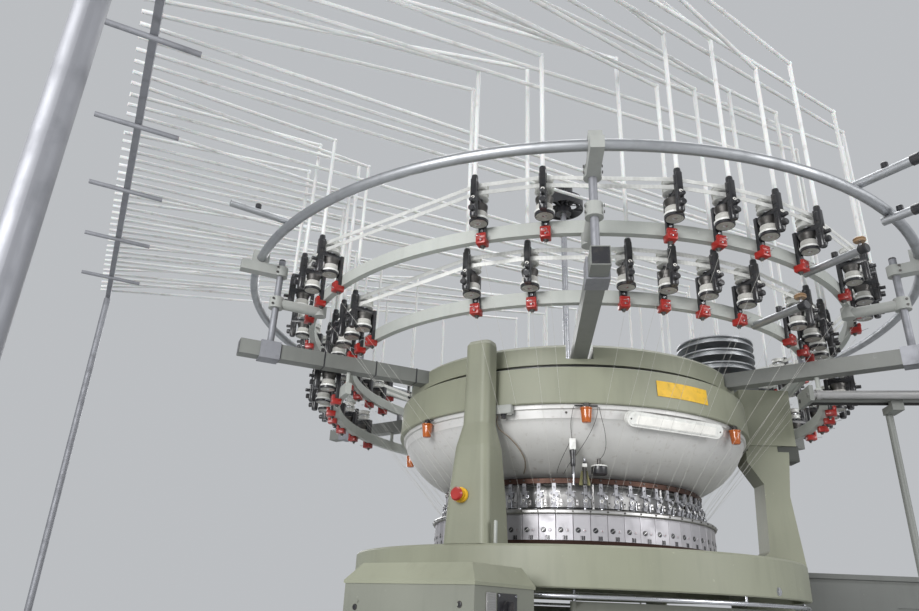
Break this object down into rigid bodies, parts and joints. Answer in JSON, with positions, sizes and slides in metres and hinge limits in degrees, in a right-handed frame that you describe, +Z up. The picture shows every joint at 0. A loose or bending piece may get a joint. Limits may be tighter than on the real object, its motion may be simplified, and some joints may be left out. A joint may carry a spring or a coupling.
{
  "type": "industrial circular knitting machine",
  "caption": "Large circular knitting machine with its cam ring, drum, yarn feeders on rings, yarn tubes and a turning cylinder with fabric take-down.",
  "frame": {"origin": "on the floor on the machine's axis, at the middle of the underside of the base hub", "axes": "+Z up, front of the machine towards -Y, +X to the right as seen from the front"},
  "size_m": [3.7123, 3.491, 2.741],
  "materials": {
    "olive_paint": "semi-gloss olive grey paint",
    "grey_paint": "satin grey-green paint",
    "beam_paint": "semi-gloss grey-green paint",
    "pale_paint": "matte pale grey paint",
    "brown_ring": "dark red-brown finish",
    "satin_steel": "satin ground steel",
    "stainless": "brushed stainless sheet",
    "chrome": "polished",
    "aluminium": "satin",
    "black_plastic": "matte",
    "white_plastic": "gloss",
    "white_tube": "gloss",
    "red_plastic": "gloss",
    "amber_plastic": "clear gloss",
    "yellow_plastic": "gloss",
    "belt": "matte white belt",
    "roller_rubber": "matte",
    "yarn": "spun yarn"
  },
  "bodies": {
    "machine": {"base_frame": "grey_paint", "lower_legs": "olive_paint", "table_ring": "olive_paint", "guard_rail": "chrome", "cam_base_ring": "brown_ring", "cam_boxes": "satin_steel", "cap_ring": "satin_steel", "yarn_guide_ring": "brown_ring", "yarn_guides": "chrome", "front_column": "olive_paint", "right_column": "olive_paint", "rear_column": "olive_paint", "top_drum": "olive_paint", "drum_spacer": "black_plastic", "top_cover": "olive_paint", "dial_housing": "satin_steel", "dish_shell": "stainless", "work_lamp": "white_plastic", "signal_lamps": "amber_plastic", "head_instruments": "white_plastic", "radial_beams": "beam_paint", "ring_posts": "chrome", "ring_arms": "pale_paint", "top_ring": "aluminium", "upper_feeder_ring": "pale_paint", "lower_feeder_ring": "pale_paint", "rear_feeder_ring": "pale_paint", "feeder_housings": "black_plastic", "drive_belts": "belt", "feeder_spools": "white_plastic", "stop_motion_units": "red_plastic", "yarn_tubes": "white_tube", "tube_rail": "aluminium", "yarns": "yarn", "centre_pole": "chrome", "fan_head": "black_plastic", "switch_cabinet": "grey_paint", "cabinet_hood": "olive_paint", "stop_button_base": "yellow_plastic", "electrical_cabinet": "grey_paint", "drive_motor": "grey_paint", "elastane_bracket": "beam_paint"},
    "cylinder": {"needle_cylinder": "chrome", "dial": "chrome", "drive_gear": "satin_steel", "take_down_frame": "olive_paint"},
    "front_nip": {"front_nip_roller": "roller_rubber"},
    "rear_nip": {"rear_nip_roller": "roller_rubber"},
    "cloth_roll": {"cloth_roller": "satin_steel"},
    "pinion": {"drive_pinion": "satin_steel"},
    "wheel_stack": {"quality_wheels": "aluminium"},
    "front_elastane": {"front_elastane_roller": "satin_steel"},
    "rear_elastane": {"rear_elastane_roller": "roller_rubber"},
    "fan": {"fan_rotor": "black_plastic"},
    "stop_knob": {"stop_button": "red_plastic"},
    "switch_knob": {"main_switch": "black_plastic"},
    "cabinet_door": {"electrical_cabinet_door": "grey_paint"},
    "front_door": {"front_guard_door": "grey_paint"},
    "right_door": {"right_guard_door": "grey_paint"},
    "left_door": {"left_guard_door": "grey_paint"}
  },
  "joints": [
    {"name": "cylinder_spin", "type": "hinge", "parent": "machine", "child": "cylinder", "pos_m": [0, 0, 1.2], "axis": [0, 0, 1], "continuous": true},
    {"name": "front_nip_spin", "type": "hinge", "parent": "cylinder", "child": "front_nip", "pos_m": [0, -0.0273, 0.7], "axis": [1, 0, 0], "continuous": true},
    {"name": "rear_nip_spin", "type": "hinge", "parent": "cylinder", "child": "rear_nip", "pos_m": [0, 0.0273, 0.7], "axis": [1, 0, 0], "continuous": true},
    {"name": "cloth_roll_spin", "type": "hinge", "parent": "cylinder", "child": "cloth_roll", "pos_m": [0, 0, 0.42], "axis": [1, 0, 0], "continuous": true},
    {"name": "pinion_spin", "type": "hinge", "parent": "machine", "child": "pinion", "pos_m": [-0.19718, 0.37084, 1.136], "axis": [0, 0, 1], "continuous": true},
    {"name": "wheel_stack_spin", "type": "hinge", "parent": "machine", "child": "wheel_stack", "pos_m": [0.63695, 0.12959, 1.95], "axis": [0, 0, 1], "continuous": true},
    {"name": "front_elastane_spin", "type": "hinge", "parent": "machine", "child": "front_elastane", "pos_m": [0.84513, -0.68466, 1.65], "axis": [0.9903, -0.1392, 0], "continuous": true},
    {"name": "rear_elastane_spin", "type": "hinge", "parent": "machine", "child": "rear_elastane", "pos_m": [0.85487, -0.61534, 1.65], "axis": [0.9903, -0.1392, 0], "continuous": true},
    {"name": "fan_spin", "type": "hinge", "parent": "machine", "child": "fan", "pos_m": [0, 0, 2.67], "axis": [0, 0, 1], "continuous": true},
    {"name": "stop_knob_push", "type": "slide", "parent": "machine", "child": "stop_knob", "axis": [0.5299, 0.848, 0], "range_m": [0, 0.006], "stiffness_N_per_m": 900},
    {"name": "switch_knob_turn", "type": "hinge", "parent": "machine", "child": "switch_knob", "pos_m": [-0.29713, -0.91632, 1.033], "axis": [0.788, -0.6157, 0], "range_deg": [0, 90]},
    {"name": "cabinet_door_swing", "type": "hinge", "parent": "machine", "child": "cabinet_door", "pos_m": [0.83, 0.2397, 0.65], "axis": [0, 0, 1], "range_deg": [-90, 0]},
    {"name": "front_door_swing", "type": "hinge", "parent": "machine", "child": "front_door", "pos_m": [-0.10012, -0.63212, 0.6], "axis": [0, 0, 1], "range_deg": [-90, 0]},
    {"name": "right_door_swing", "type": "hinge", "parent": "machine", "child": "right_door", "pos_m": [-0.17641, 0.61521, 0.6], "axis": [0, 0, 1], "range_deg": [0, 90]},
    {"name": "left_door_swing", "type": "hinge", "parent": "machine", "child": "left_door", "pos_m": [-0.41138, 0.49027, 0.6], "axis": [0, 0, 1], "range_deg": [-90, 0]}
  ],
  "couplings": [
    {"joint": "front_nip_spin", "follows": "cylinder_spin", "ratio": -4},
    {"joint": "rear_nip_spin", "follows": "cylinder_spin", "ratio": 4},
    {"joint": "cloth_roll_spin", "follows": "cylinder_spin", "ratio": 3.2},
    {"joint": "pinion_spin", "follows": "cylinder_spin", "ratio": -6},
    {"joint": "wheel_stack_spin", "follows": "cylinder_spin", "ratio": 2.5},
    {"joint": "front_elastane_spin", "follows": "cylinder_spin", "ratio": 5},
    {"joint": "rear_elastane_spin", "follows": "cylinder_spin", "ratio": 5}
  ]
}
